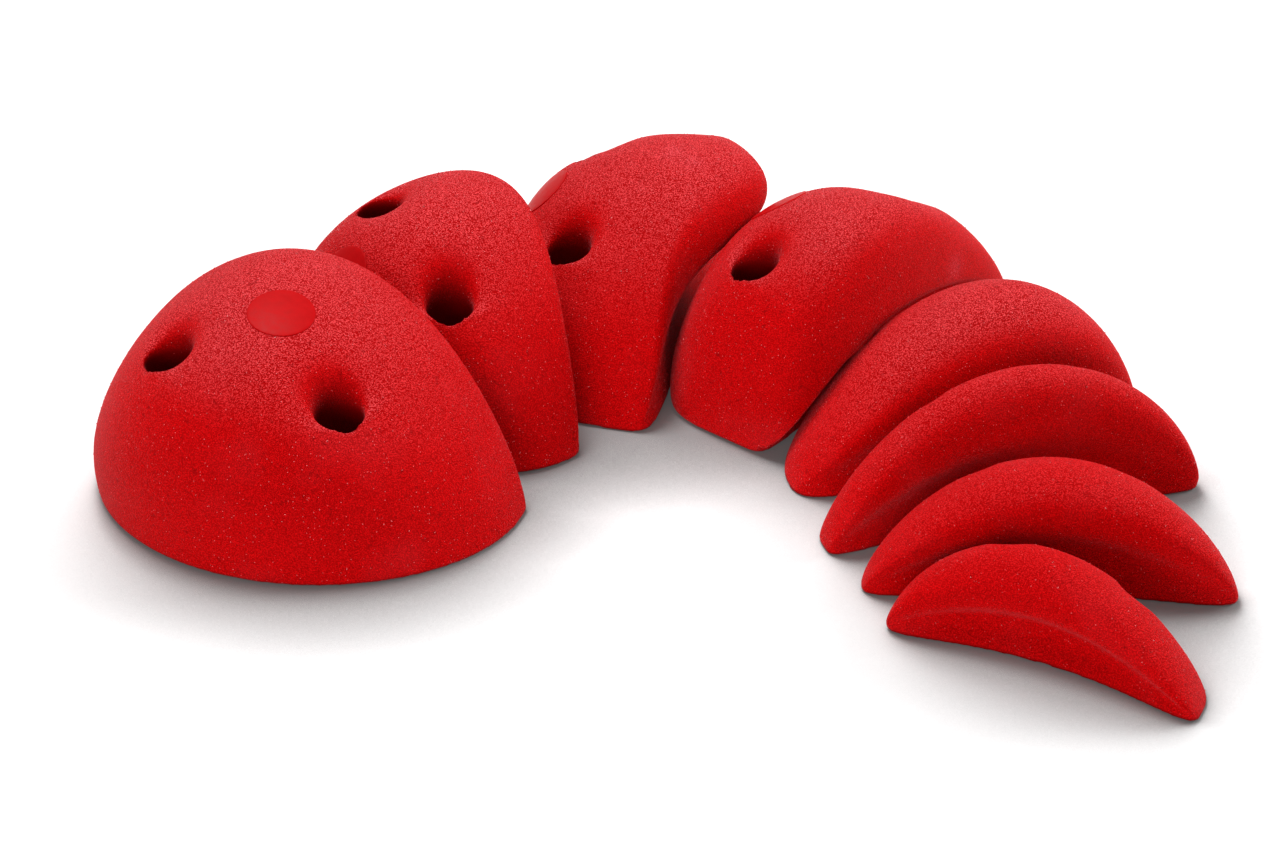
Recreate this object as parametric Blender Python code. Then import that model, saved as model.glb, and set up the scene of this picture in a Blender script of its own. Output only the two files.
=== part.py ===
"""A set of eight screw-on climbing holds: four jugs and four crescent edges, nested in an arch.

Every hold is one solid resin casting with a flat back, which lies at z = 0 and goes against the wall.
In its own frame a hold has its chord along X, between its two tips, and its grip side towards +Y.
Its surface is lofted: one section (outer flank, crest, lip, incut, foot) shrinks towards both tips.
Two screws go through each hold. Each has a flared counterbore with a steel washer seated in it.
Lengths are in metres, and MM turns millimetres into them.
"""

import math
from types import SimpleNamespace

import bmesh
import bpy
from mathutils import Matrix, Vector
from mathutils.bvhtree import BVHTree

MM = 0.001

# Sizes that all holds share
NEST_GAP = 0.5 * MM  # left between a hold and the one that it nests into
WASHER_THICKNESS = 2.0 * MM
WASHER_SIDE_CLEARANCE = 0.3 * MM  # between a washer's rim and its counterbore
WASHER_SEAT_GAP = 0.3 * MM  # under a washer
BADGE_DIAMETER = 20.5 * MM  # bare round pad, left smooth on each jug
BADGE_RISE = 0.5 * MM

# Screw seats of the jugs, for a screw of about 7 mm
JUG_BORE_DIAMETER = 15.0 * MM
JUG_SHANK_DIAMETER = 7.5 * MM
JUG_BORE_DEPTH = 15.0 * MM  # from the low side of the mouth down to the seat
JUG_FLARE_WIDTH = 3.0 * MM  # how far the mouth widens on each side
JUG_FLARE_RISE = 12.0 * MM  # over this height

# Screw seats of the crescent edges, for a screw of about 5 mm
EDGE_BORE_DIAMETER = 8.5 * MM
EDGE_SHANK_DIAMETER = 5.0 * MM
EDGE_BORE_DEPTH = 8.0 * MM
EDGE_FLARE_WIDTH = 1.0 * MM
EDGE_FLARE_RISE = 6.0 * MM

# The four jugs, front left to back right. All lie in the frame that the heading gives.
# length: tip to tip. depth: from the chord out to the foot of the flank. height: at the crest.
# lip_reach and lip_height: the nose of the lip. bow: how far the tips curl towards the grip side.
# lean: how far the crown is shifted along the chord. tip_round, lip_taper, pocket_fade and fall: powers
# by which plan, lip, pocket and height shrink towards the tips, where a small power keeps an end full.
# turn: degrees about Z. shift: along the chord of the hold before it. screws and badge: the place along
# the chord, and the distance in from the outer foot.
JUG_1 = SimpleNamespace(
    name="jug_1",
    length=140.0 * MM,
    depth=60.0 * MM,
    height=68.0 * MM,
    lip_reach=33.5 * MM,
    lip_height=60.0 * MM,
    bow=7.0 * MM,
    lean=-12.0 * MM,
    tip_round=0.44,
    lip_taper=0.66,
    fall=0.66,
    turn=-17.5,
    shift=0.0 * MM,
    screws=((-33.5 * MM, 27.0 * MM), (23.0 * MM, 27.0 * MM)),
    badge=(-2.0 * MM, 48.0 * MM),
)
JUG_2 = SimpleNamespace(
    name="jug_2",
    length=125.0 * MM,
    depth=49.0 * MM,
    height=70.0 * MM,
    lip_reach=29.0 * MM,
    lip_height=65.0 * MM,
    bow=3.5 * MM,
    lean=-5.5 * MM,
    tip_round=0.48,
    lip_taper=1.22,
    fall=0.66,
    turn=-43.0,
    shift=19.5 * MM,
    screws=((-22.5 * MM, 38.0 * MM), (24.0 * MM, 24.5 * MM)),
    badge=(-11.5 * MM, 13.5 * MM),
)
JUG_3 = SimpleNamespace(
    name="jug_3",
    length=136.0 * MM,
    depth=62.0 * MM,
    height=67.0 * MM,
    lip_reach=31.5 * MM,
    lip_height=53.0 * MM,
    bow=10.0 * MM,
    lean=-11.0 * MM,
    tip_round=0.31,
    lip_taper=4.5,
    fall=0.66,
    turn=-104.0,
    shift=29.0 * MM,
    screws=((-27.0 * MM, 25.0 * MM), (27.5 * MM, 29.5 * MM)),
    badge=(-2.0 * MM, 17.0 * MM),
)
JUG_4 = SimpleNamespace(
    name="jug_4",
    length=135.0 * MM,
    depth=49.5 * MM,
    height=68.0 * MM,
    lip_reach=27.0 * MM,
    lip_height=40.0 * MM,
    bow=6.0 * MM,
    lean=13.5 * MM,
    tip_round=0.22,
    lip_taper=0.03,
    fall=0.66,
    turn=-131.0,
    shift=7.5 * MM,
    screws=((-20.0 * MM, 45.0 * MM), (41.5 * MM, 30.0 * MM)),
    badge=(13.0 * MM, 22.0 * MM),
)

# The four crescent edges, back to front. incut_height: the height at which the lip is undercut most.
EDGE_1 = SimpleNamespace(
    name="edge_1",
    length=120.0 * MM,
    depth=37.0 * MM,
    height=52.0 * MM,
    lip_reach=19.5 * MM,
    lip_height=35.0 * MM,
    incut_height=16.0 * MM,
    bow=13.0 * MM,
    lean=-14.5 * MM,
    tip_round=0.47,
    fall=0.7,
    turn=-160.0,
    shift=19.0 * MM,
    screws=((-24.0 * MM, 12.0 * MM), (24.0 * MM, 12.0 * MM)),
)
EDGE_2 = SimpleNamespace(
    name="edge_2",
    length=125.0 * MM,
    depth=18.5 * MM,
    height=45.5 * MM,
    lip_reach=8.8 * MM,
    lip_height=30.0 * MM,
    incut_height=14.0 * MM,
    bow=11.5 * MM,
    lean=-4.5 * MM,
    tip_round=0.28,
    fall=0.6,
    turn=-162.5,
    shift=1.0 * MM,
    screws=((-24.0 * MM, 6.5 * MM), (24.0 * MM, 6.5 * MM)),
)
EDGE_3 = SimpleNamespace(
    name="edge_3",
    length=110.5 * MM,
    depth=28.0 * MM,
    height=35.5 * MM,
    lip_reach=12.3 * MM,
    lip_height=25.0 * MM,
    incut_height=12.0 * MM,
    bow=14.5 * MM,
    lean=-1.0 * MM,
    tip_round=0.48,
    fall=0.66,
    turn=-183.0,
    shift=4.0 * MM,
    screws=((-22.0 * MM, 9.0 * MM), (22.0 * MM, 9.0 * MM)),
)
EDGE_4 = SimpleNamespace(
    name="edge_4",
    length=92.5 * MM,
    depth=20.5 * MM,
    height=28.5 * MM,
    lip_reach=10.0 * MM,
    lip_height=18.0 * MM,
    incut_height=9.0 * MM,
    bow=13.5 * MM,
    lean=7.5 * MM,
    tip_round=0.3,
    fall=0.66,
    turn=-208.0,
    shift=1.0 * MM,
    screws=((-19.0 * MM, 6.3 * MM), (19.0 * MM, 6.3 * MM)),
)

# What the sections of one kind of hold share
JUG = SimpleNamespace(
    crest=9.0 * MM,  # the crest's place across the chord
    foot=8.0 * MM,  # the inner foot's place
    incut=6.0 * MM,  # the deepest part of the finger pocket
    incut_height=26.0 * MM,
    lip_round=4.5 * MM,  # least width of the rounding from the crest over to the nose of the lip
    pocket_fade=0.2,
    tip=-8.0 * MM,  # both tips' place across the chord, before the bow
    fullness=0.2,  # how much rounder than an ellipse the flank is
    bore_diameter=JUG_BORE_DIAMETER,
    shank_diameter=JUG_SHANK_DIAMETER,
    bore_depth=JUG_BORE_DEPTH,
    flare_width=JUG_FLARE_WIDTH,
    flare_rise=JUG_FLARE_RISE,
)
EDGE = SimpleNamespace(
    crest=-1.5 * MM,
    foot_setback=0.5 * MM,  # the foot and the incut lie this far behind the nose of the lip
    incut_setback=5.0 * MM,
    lip_round=4.0 * MM,
    lip_taper=0.2,
    pocket_fade=0.8,
    tip=-3.5 * MM,
    fullness=0.05,
    bore_diameter=EDGE_BORE_DIAMETER,
    shank_diameter=EDGE_SHANK_DIAMETER,
    bore_depth=EDGE_BORE_DEPTH,
    flare_width=EDGE_FLARE_WIDTH,
    flare_rise=EDGE_FLARE_RISE,
)

# Fineness of the surfaces
JUG_STATIONS = 24
JUG_STEPS = (10, 5, 5, 4)
EDGE_STATIONS = 20
EDGE_STEPS = (7, 5, 4, 2)
BORE_SIDES = 20
WASHER_SIDES = 16
BADGE_SIDES = 28
FLARE_STEPS = 3

# Handles of the section's curves, as shares of the distance that each curve spans
CIRCLE_HANDLE = 0.5523  # makes a quarter circle
LIP_HANDLE = 0.5
INCUT_UPPER_HANDLE = 0.45
INCUT_LOWER_HANDLE = 0.5
FOOT_HANDLE = 0.35

OVERCUT = 5.0 * MM  # how far cutters run past the surface
ABOVE_ALL = 1000.0 * MM  # height from which rays look down on a casting
NEST_TOLERANCE = 0.01 * MM
NEST_STEPS = 200
MERGE_DISTANCE = 0.001 * MM
SHARP_ANGLE = 40.0

RESIN_RED = (0.56, 0.006, 0.008, 1.0)
RESIN_ROUGHNESS = 0.55
STEEL_GREY = (0.45, 0.45, 0.46, 1.0)
STEEL_ROUGHNESS = 0.35


def material(name, colour, roughness, metallic):
    made = bpy.data.materials.new(name)
    made.use_nodes = True
    shader = made.node_tree.nodes["Principled BSDF"]
    shader.inputs["Base Color"].default_value = colour
    shader.inputs["Roughness"].default_value = roughness
    shader.inputs["Metallic"].default_value = metallic
    return made


def resin(name):
    return material(name, RESIN_RED, RESIN_ROUGHNESS, 0.0)


def steel(name):
    return material(name, STEEL_GREY, STEEL_ROUGHNESS, 1.0)


def mesh_object(name, shape):
    """Turns a bmesh into an object of the scene, faces out and shaded smooth over its soft edges."""
    bmesh.ops.recalc_face_normals(shape, faces=shape.faces)
    mesh = bpy.data.meshes.new(name)
    shape.to_mesh(mesh)
    shape.free()
    mesh.shade_smooth()
    mesh.set_sharp_from_angle(angle=math.radians(SHARP_ANGLE))
    made = bpy.data.objects.new(name, mesh)
    bpy.context.scene.collection.objects.link(made)
    return made


def helper(made):
    """Marks a cutter or another construction body, which isn't a piece of the set."""
    made.hide_render = True
    made.display_type = "WIRE"
    return made


def boolean(made, operation, tool):
    modifier = made.modifiers.new(tool.name, "BOOLEAN")
    modifier.operation = operation
    modifier.object = tool
    modifier.solver = "EXACT"


def curve(start, leave, arrive, end, count):
    """Points of a cubic curve from start to just before end, with its two handles."""
    points = []
    for i in range(count):
        t = i / count
        s = 1 - t
        weights = (s**3, 3 * s * s * t, 3 * s * t * t, t**3)
        corners = (start, leave, arrive, end)
        y = sum(w * corner[0] for w, corner in zip(weights, corners))
        z = sum(w * corner[1] for w, corner in zip(weights, corners))
        points.append((y, z))
    return points


def softer_least(a, b, blend):
    """The lesser of two lengths, rounded over where they are alike."""
    return (a + b - math.hypot(a - b, blend)) / 2


def reach_at(hold, station):
    """How far the lip's nose reaches at a station, before the plan narrows, and how much is undercut."""
    left = 1 - station**2
    reach = hold.foot + (hold.lip_reach - hold.foot) * left**hold.lip_taper
    return reach, left**hold.pocket_fade


def section(hold, station, grow=0.0):
    """The outline at a station as (y, z), before it shrinks, from the outer to the inner foot."""
    steps = hold.steps
    depth = hold.depth + grow
    height = hold.height + grow
    reach, undercut = reach_at(hold, station)
    nose = (reach + grow, hold.lip_height)
    foot = (reach - (reach - hold.foot) * undercut, 0.0)
    incut = (reach - (reach - hold.incut) * undercut, hold.incut_height)
    crest = (softer_least(hold.crest, reach - hold.lip_round, hold.lip_round), height)
    handle = CIRCLE_HANDLE * (1 + hold.fullness)
    flank_up = (-depth, handle * height)
    flank_over = (crest[0] - handle * (depth + crest[0]), height)
    outline = curve((-depth, 0.0), flank_up, flank_over, crest, steps[0])
    lip_over = (crest[0] + CIRCLE_HANDLE * (nose[0] - crest[0]), height)
    lip_down = (nose[0], nose[1] + CIRCLE_HANDLE * (height - nose[1]))
    outline += curve(crest, lip_over, lip_down, nose, steps[1])
    drop = nose[1] - incut[1]
    under_lip = (nose[0], nose[1] - LIP_HANDLE * drop)
    over_incut = (incut[0], incut[1] + INCUT_UPPER_HANDLE * drop)
    outline += curve(nose, under_lip, over_incut, incut, steps[2])
    under_incut = (incut[0], incut[1] * (1 - INCUT_LOWER_HANDLE))
    over_foot = (foot[0], incut[1] * FOOT_HANDLE)
    outline += curve(incut, under_incut, over_foot, foot, steps[3])
    return outline + [foot]


def across(hold, station, y):
    """Where a point of a section lies once the plan has narrowed, at a station that runs from -1 to 1."""
    return hold.bow * station**2 + hold.tip + (y - hold.tip) * (1 - station**2) ** hold.tip_round


def shell(hold, name, grow=0.0):
    """The casting's outer surface, closed by its flat back, without holes."""
    half = hold.length / 2
    shape = bmesh.new()
    rings = []
    for i in range(1, hold.stations):
        station = -math.cos(math.pi * i / hold.stations)
        fall = (1 - station**2) ** hold.fall
        ring = []
        for y, z in section(hold, station, grow):
            along = station * half + hold.lean * z * fall / hold.height
            ring.append(shape.verts.new((along, across(hold, station, y), z * fall)))
        rings.append(ring)
    for ring, following in zip(rings, rings[1:]):
        for i in range(len(ring)):
            j = (i + 1) % len(ring)
            shape.faces.new((ring[i], following[i], following[j], ring[j]))
    tip_y = hold.bow + hold.tip
    for ring, end in ((rings[0], -half), (rings[-1], half)):
        pole = shape.verts.new((end, tip_y, 0.0))
        for i in range(len(ring)):
            shape.faces.new((ring[i], ring[(i + 1) % len(ring)], pole))
    return mesh_object(name, shape)


def turned(name, profile, sides):
    """A solid of revolution about Z, from (radius, z) points that start and end on the axis."""
    shape = bmesh.new()
    verts = [shape.verts.new((radius, 0.0, z)) for radius, z in profile]
    edges = [shape.edges.new(pair) for pair in zip(verts, verts[1:])]
    bmesh.ops.spin(
        shape, geom=verts + edges, cent=(0, 0, 0), axis=(0, 0, 1), angle=math.tau, steps=sides, use_merge=True
    )
    bmesh.ops.remove_doubles(shape, verts=shape.verts, dist=MERGE_DISTANCE)
    return mesh_object(name, shape)


def foot_line(hold, along):
    """The y of the outer foot at a place along the chord."""
    return across(hold, along / (hold.length / 2), -hold.depth)


def surface_at(tree, x, y):
    """The point and the normal of the shell straight above a place on its back."""
    point, normal, _, _ = tree.ray_cast(Vector((x, y, ABOVE_ALL)), Vector((0, 0, -1)))
    return point, normal


def screw_places(hold, tree):
    """For each screw: x, y, the height of its seat, and the low and high side of its mouth."""
    places = []
    radius = hold.bore_diameter / 2
    for along, inset in hold.screws:
        y = foot_line(hold, along) + inset
        heights = []
        for i in range(BORE_SIDES):
            angle = math.tau * i / BORE_SIDES
            point, _ = surface_at(tree, along + radius * math.cos(angle), y + radius * math.sin(angle))
            heights.append(point.z if point else 0.0)
        low = min(heights)
        places.append(SimpleNamespace(x=along, y=y, seat=low - hold.bore_depth, low=low, high=max(heights)))
    return places


def bore_cutter(hold, name, place):
    """Shank hole, counterbore and flared mouth in one turned cutter."""
    shank = hold.shank_diameter / 2
    bore = hold.bore_diameter / 2
    profile = [(0.0, -OVERCUT), (shank, -OVERCUT), (shank, place.seat), (bore, place.seat)]
    for i in range(FLARE_STEPS + 1):
        share = i / FLARE_STEPS
        widening = hold.flare_width * (1 - math.cos(share * math.pi / 2))
        profile.append((bore + widening, place.low + hold.flare_rise * math.sin(share * math.pi / 2)))
    top = max(place.high, place.low + hold.flare_rise) + OVERCUT
    profile += [(bore + hold.flare_width, top), (0.0, top)]
    cutter = helper(turned(name, profile, BORE_SIDES))
    cutter.location = (place.x, place.y, 0.0)
    return cutter


def washer(hold, name, place):
    """The flat steel ring that spreads the screw head's load, loose in its counterbore by the clearance."""
    outer = hold.bore_diameter / 2 - WASHER_SIDE_CLEARANCE
    inner = hold.shank_diameter / 2
    low = place.seat + WASHER_SEAT_GAP
    high = low + WASHER_THICKNESS
    profile = [(inner, low), (outer, low), (outer, high), (inner, high), (inner, low)]
    made = turned(name, profile, WASHER_SIDES)
    made.location = (place.x, place.y, 0.0)
    made.data.materials.append(steel(name + "_steel"))
    return made


def badge_plug(hold, name, tree):
    """The bare round pad: a plug square to the surface, whose face follows the surface a little above it."""
    along, inset = hold.badge
    point, normal = surface_at(tree, along, foot_line(hold, along) + inset)
    skin = helper(shell(hold, name + "_skin", BADGE_RISE))
    shape = bmesh.new()
    radius = BADGE_DIAMETER / 2
    bmesh.ops.create_cone(
        shape, cap_ends=True, segments=BADGE_SIDES, radius1=radius, radius2=radius, depth=2 * OVERCUT
    )
    plug = helper(mesh_object(name, shape))
    plug.rotation_mode = "QUATERNION"
    plug.rotation_quaternion = Vector((0, 0, 1)).rotation_difference(normal)
    plug.location = point
    boolean(plug, "INTERSECT", skin)
    return plug, skin


def rotation(hold):
    return Matrix.Rotation(math.radians(hold.turn), 4, "Z")


def placed(hold):
    return Matrix.Translation(hold.place) @ rotation(hold)


def least_gap(points, tree, other_points, other_tree, offset):
    """The least distance between two shells, where the first is moved by offset."""
    gaps = [other_tree.find_nearest(point + offset)[3] for point in points]
    gaps += [tree.find_nearest(point - offset)[3] for point in other_points]
    return min(gaps)


def nest(holds):
    """Slides each hold into the grip side of the one before it until only the gap is left."""
    before = None
    for hold in holds:
        turn = rotation(hold)
        faces = [polygon.vertices[:] for polygon in hold.body.data.polygons]
        hold.points = [turn @ vertex.co for vertex in hold.body.data.vertices]
        hold.tree = BVHTree.FromPolygons(hold.points, faces)
        hold.place = Vector((0, 0, 0))
        if before:
            chord = rotation(before) @ Vector((1, 0, 0))
            slide = rotation(before) @ Vector((0, 1, 0))
            offset = chord * hold.shift + slide * (before.length + hold.length)
            for _ in range(NEST_STEPS):
                spare = least_gap(hold.points, hold.tree, before.points, before.tree, offset) - NEST_GAP
                if spare < NEST_TOLERANCE:
                    break
                offset -= slide * spare
            hold.place = before.place + offset
        before = hold


def centre(holds):
    """Puts the origin under the middle of the whole set's box."""
    corners = [hold.place + point for hold in holds for point in hold.points]
    for axis in (0, 1):
        values = [corner[axis] for corner in corners]
        middle = (min(values) + max(values)) / 2
        for hold in holds:
            hold.place[axis] -= middle


def finish_hold(hold):
    """Cuts the screw holes, adds the badge pad and the washers, and moves all of it to its place."""
    body = hold.body
    local = BVHTree.FromPolygons(
        [vertex.co for vertex in body.data.vertices], [polygon.vertices[:] for polygon in body.data.polygons]
    )
    body.data.materials.append(resin(hold.name + "_resin"))
    pieces = []
    if hold.kind == "jug":
        plug, skin = badge_plug(hold, hold.name + "_badge_pad", local)
        boolean(body, "UNION", plug)
        pieces += [plug, skin]
    for side, place in zip(("left", "right"), screw_places(hold, local)):
        cutter = bore_cutter(hold, f"{hold.name}_bore_{side}", place)
        boolean(body, "DIFFERENCE", cutter)
        pieces += [cutter, washer(hold, f"{hold.name}_washer_{side}", place)]
    for piece in pieces:
        piece.parent = body
    body.matrix_world = placed(hold)


def with_kind(hold, kind, common):
    """A hold's own sizes together with what its kind shares."""
    full = SimpleNamespace(kind=kind, **vars(common), **vars(hold))
    if kind == "edge":
        full.foot = full.lip_reach - full.foot_setback
        full.incut = full.lip_reach - full.incut_setback
    full.stations = JUG_STATIONS if kind == "jug" else EDGE_STATIONS
    full.steps = JUG_STEPS if kind == "jug" else EDGE_STEPS
    return full


def main():
    for old in list(bpy.data.objects):
        bpy.data.objects.remove(old)
    holds = [with_kind(hold, "jug", JUG) for hold in (JUG_1, JUG_2, JUG_3, JUG_4)]
    holds += [with_kind(hold, "edge", EDGE) for hold in (EDGE_1, EDGE_2, EDGE_3, EDGE_4)]
    for hold in holds:
        hold.body = shell(hold, hold.name)
    nest(holds)
    centre(holds)
    for hold in holds:
        finish_hold(hold)


main()
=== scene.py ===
"""Eight red resin climbing holds, nested in an arch on a white floor: four jugs and four crescent edges.

Each hold's skin is made again on fine faces from the sizes that the castings have, with its screw
seats, its soft and crisp rims and the relief of sand that its mould leaves. Lengths are in metres,
and MM turns millimetres into them.
"""

import math
from types import SimpleNamespace

import bmesh
import bpy
import numpy as np
from mathutils import Matrix, Vector
from mathutils.bvhtree import BVHTree


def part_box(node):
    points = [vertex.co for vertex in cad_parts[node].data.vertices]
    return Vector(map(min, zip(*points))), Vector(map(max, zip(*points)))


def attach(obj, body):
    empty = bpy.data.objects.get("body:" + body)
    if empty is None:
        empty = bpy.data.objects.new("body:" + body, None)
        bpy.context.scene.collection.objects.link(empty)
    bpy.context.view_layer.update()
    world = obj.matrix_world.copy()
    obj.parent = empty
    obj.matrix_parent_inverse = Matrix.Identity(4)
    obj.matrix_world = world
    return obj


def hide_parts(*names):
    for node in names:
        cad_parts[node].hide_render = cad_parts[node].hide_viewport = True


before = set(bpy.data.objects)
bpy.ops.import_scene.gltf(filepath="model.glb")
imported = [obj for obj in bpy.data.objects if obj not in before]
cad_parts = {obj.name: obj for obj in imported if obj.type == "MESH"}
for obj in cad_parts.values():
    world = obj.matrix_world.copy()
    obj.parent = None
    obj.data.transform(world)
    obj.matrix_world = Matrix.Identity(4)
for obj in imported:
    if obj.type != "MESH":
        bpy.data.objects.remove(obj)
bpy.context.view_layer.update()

MM = 0.001

# The castings' own sizes. length: tip to tip. depth: from the chord to the outer foot. lip: reach and
# height of its nose. incut: height of the deepest part under the lip. bow, lean, round, taper and fall:
# how the tips curl, the crown shifts, and plan, lip and height shrink towards the tips. turn: degrees
# about Z. screws and badge: the place along the chord and the distance in from the outer foot. scuffs:
# x, y, z and size. painted_highlight: how strongly the crown is painted paler, a painted highlight, and
# how bright its pale grains are, which are painted glints.
JUGS = {
    "jug_1": SimpleNamespace(
        length=140.0, depth=60.0, height=68.0, lip=(33.5, 60.0), incut=26.0, bow=7.0, lean=-12.0,
        round=0.44, taper=0.66, fall=0.66, turn=-17.5,
        screws=((-33.5, 27.0), (23.0, 27.0)), badge=(-2.0, 48.0),
    ),
    "jug_2": SimpleNamespace(
        length=125.0, depth=49.0, height=70.0, lip=(29.0, 65.0), incut=26.0, bow=3.5, lean=-5.5,
        round=0.48, taper=1.22, fall=0.66, turn=-43.0,
        screws=((-22.5, 38.0), (24.0, 24.5)), badge=(-11.5, 13.5),
    ),
    "jug_3": SimpleNamespace(
        length=136.0, depth=62.0, height=67.0, lip=(31.5, 53.0), incut=26.0, bow=10.0, lean=-11.0,
        round=0.31, taper=4.5, fall=0.66, turn=-104.0,
        screws=((-27.0, 25.0), (27.5, 29.5)), badge=(-2.0, 17.0),
        scuffs=((-7.0, 0.0, 66.0, 5.0), (-1.0, 8.0, 66.0, 4.0)),
    ),
    "jug_4": SimpleNamespace(
        length=135.0, depth=49.5, height=68.0, lip=(27.0, 40.0), incut=26.0, bow=6.0, lean=13.5,
        round=0.22, taper=0.03, fall=0.66, turn=-131.0,
        screws=((-20.0, 45.0), (41.5, 30.0)), badge=(13.0, 22.0),
        scuffs=((-15.0, 26.0, 41.0, 4.5),),
    ),
}
EDGES = {
    "edge_1": SimpleNamespace(
        length=120.0, depth=37.0, height=52.0, lip=(19.5, 35.0), incut=16.0, bow=13.0, lean=-14.5,
        round=0.47, fall=0.7, turn=-160.0,
        screws=((-24.0, 12.0), (24.0, 12.0)), painted_highlight=1.0,
    ),
    "edge_2": SimpleNamespace(
        length=125.0, depth=18.5, height=45.5, lip=(8.8, 30.0), incut=14.0, bow=11.5, lean=-4.5,
        round=0.28, fall=0.6, turn=-162.5,
        screws=((-24.0, 6.5), (24.0, 6.5)), painted_highlight=0.5,
    ),
    "edge_3": SimpleNamespace(
        length=110.5, depth=28.0, height=35.5, lip=(12.3, 25.0), incut=12.0, bow=14.5, lean=-1.0,
        round=0.48, fall=0.66, turn=-183.0,
        screws=((-22.0, 9.0), (22.0, 9.0)), painted_highlight=0.25,
    ),
    "edge_4": SimpleNamespace(
        length=92.5, depth=20.5, height=28.5, lip=(10.0, 18.0), incut=9.0, bow=13.5, lean=7.5,
        round=0.3, fall=0.66, turn=-208.0,
        screws=((-19.0, 6.3), (19.0, 6.3)), painted_highlight=0.1,
    ),
}

# What the holds of a kind share. crest, foot, incut_at and tip: places across the chord of the crown's
# top, the inner foot, the deepest part under the lip, and the tips. The edges have the foot and the incut
# set back from their nose. lip_round: least distance from crown to nose. pocket_fade: how soon the pocket
# runs out towards the tips. fullness: how much fuller than round the outer flank is.
JUG_FORM = SimpleNamespace(
    crest=9.0, foot=8.0, incut_at=6.0, lip_round=4.5, pocket_fade=0.2, tip=-8.0, fullness=0.2, painted_highlight=1.0
)
EDGE_FORM = SimpleNamespace(
    crest=-1.5, foot_setback=0.5, incut_setback=5.0, taper=0.2, lip_round=4.0, pocket_fade=0.8, tip=-3.5,
    fullness=0.05,
)

# Screw seats. bore and shank: radii. depth: of the seat below the low side of its mouth. flare and rise:
# how far the mouth widens, and over what height.
JUG_SEAT = SimpleNamespace(bore=7.5, shank=3.75, depth=15.0, flare=3.0, rise=12.0)
EDGE_SEAT = SimpleNamespace(bore=4.25, shank=2.5, depth=8.0, flare=1.0, rise=6.0)

# Badge pads. rise: above the shell. edge: rounding of the rim. sunk: depth of the underside in the shell.
BADGE = SimpleNamespace(radius=10.25, rise=0.3, edge=0.25, sunk=0.6)

# Handles of the section's curves, as shares of the distance that each curve spans. A circle's is 0.5523.
CIRCLE_HANDLE = 0.5523
LIP_HANDLE = 0.5
INCUT_UPPER_HANDLE = 0.45
INCUT_LOWER_HANDLE = 0.5
FOOT_HANDLE = 0.35

# Fineness
STATIONS = 150
STEPS = (60, 30, 36, 24)
BORE_SIDES = 72
MOUTH_STEPS = 12
BADGE_SIDES = 96
BADGE_RINGS = 12
BADGE_EDGE_RINGS = 4
JUG_FACE = 0.7  # side of a face of the finished skin
EDGE_FACE = 0.56
CUTTER_MARGIN = 5.0  # how far a cutter stands out of its casting
RAY_START = 20.0  # how far from the shell a ray towards it starts
MERGE_DISTANCE = 0.001

# Finish of the skin. A pull says how far a round of smoothing moves a point towards its neighbours. RIM is
# the crisp low side of a mouth, and BACK_EDGE the edge of the back. HOLLOW_SHADE is painted shade: it
# darkens what lies deep under the plain shell.
LEAST_PULL = 0.01
JUG_MOUTH = 6.5  # how far a screw's mouth is rounded over towards the crown
EDGE_MOUTH = 1.5
MOUTH_PULL = 0.95
SOFT_MOUTH = (0.05, 0.5)  # shares of the mouth's rise between which it turns from crisp to soft
RIM = SimpleNamespace(width=1.2, below=2.0, pull=0.5, rounds=4)
BACK_EDGE = SimpleNamespace(height=4.0, pull=0.6, rounds=16)
ON_SHELL = 0.6  # a point nearer to the plain shell than this share of a face lies on it
WALL_MARGIN = 0.3  # how far below its mouth a bore's straight wall ends
BORE_SAND = (-2.0, 1.0)  # heights about the low side of a mouth between which the sand begins
BORE_SAND_WIDTH = 0.6  # how far outside the bore that reaches
BACK_SAND = (0.2, 1.5)  # heights above the back between which the sand begins
CROWN_SLOPE = (0.55, 1.0)  # upward share of the normal between which the crown's painted highlight begins
# Painted shade in the screws' mouths: the depths over which it deepens, and how dark it gets at most
HOLLOW_SHADE = SimpleNamespace(depth=(1.0, 10.0), most=0.75)


def curve(start, leave, arrive, end, count):
    """Points of a cubic curve from start to just before end."""
    t = np.arange(count)[:, None] / count
    s = 1 - t
    corners = [np.array(corner, float) for corner in (start, leave, arrive, end)]
    return s**3 * corners[0] + 3 * s * s * t * corners[1] + 3 * s * t * t * corners[2] + t**3 * corners[3]


def section(hold, station):
    """The outline at a station, before it shrinks, as rows of y and z from outer foot to inner foot."""
    left = 1 - station**2
    reach = hold.foot + (hold.lip[0] - hold.foot) * left**hold.taper
    undercut = left**hold.pocket_fade
    nose = (reach, hold.lip[1])
    incut = (reach - (reach - hold.incut_at) * undercut, hold.incut)
    rounded = reach - hold.lip_round
    crest = ((hold.crest + rounded - math.hypot(hold.crest - rounded, hold.lip_round)) / 2, hold.height)
    handle = CIRCLE_HANDLE * (1 + hold.fullness)
    up = (-hold.depth, handle * hold.height)
    over = (crest[0] - handle * (hold.depth + crest[0]), hold.height)
    lip_over = (crest[0] + CIRCLE_HANDLE * (nose[0] - crest[0]), hold.height)
    lip_down = (nose[0], nose[1] + CIRCLE_HANDLE * (hold.height - nose[1]))
    drop = nose[1] - incut[1]
    under_lip = (nose[0], nose[1] - LIP_HANDLE * drop)
    over_incut = (incut[0], incut[1] + INCUT_UPPER_HANDLE * drop)
    under_incut = (incut[0], incut[1] * (1 - INCUT_LOWER_HANDLE))
    foot = (reach - (reach - hold.foot) * undercut, 0.0)
    over_foot = (foot[0], incut[1] * FOOT_HANDLE)
    return np.vstack([
        curve((-hold.depth, 0.0), up, over, crest, STEPS[0]),
        curve(crest, lip_over, lip_down, nose, STEPS[1]),
        curve(nose, under_lip, over_incut, incut, STEPS[2]),
        curve(incut, under_incut, over_foot, foot, STEPS[3]),
        [foot],
    ])


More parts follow.
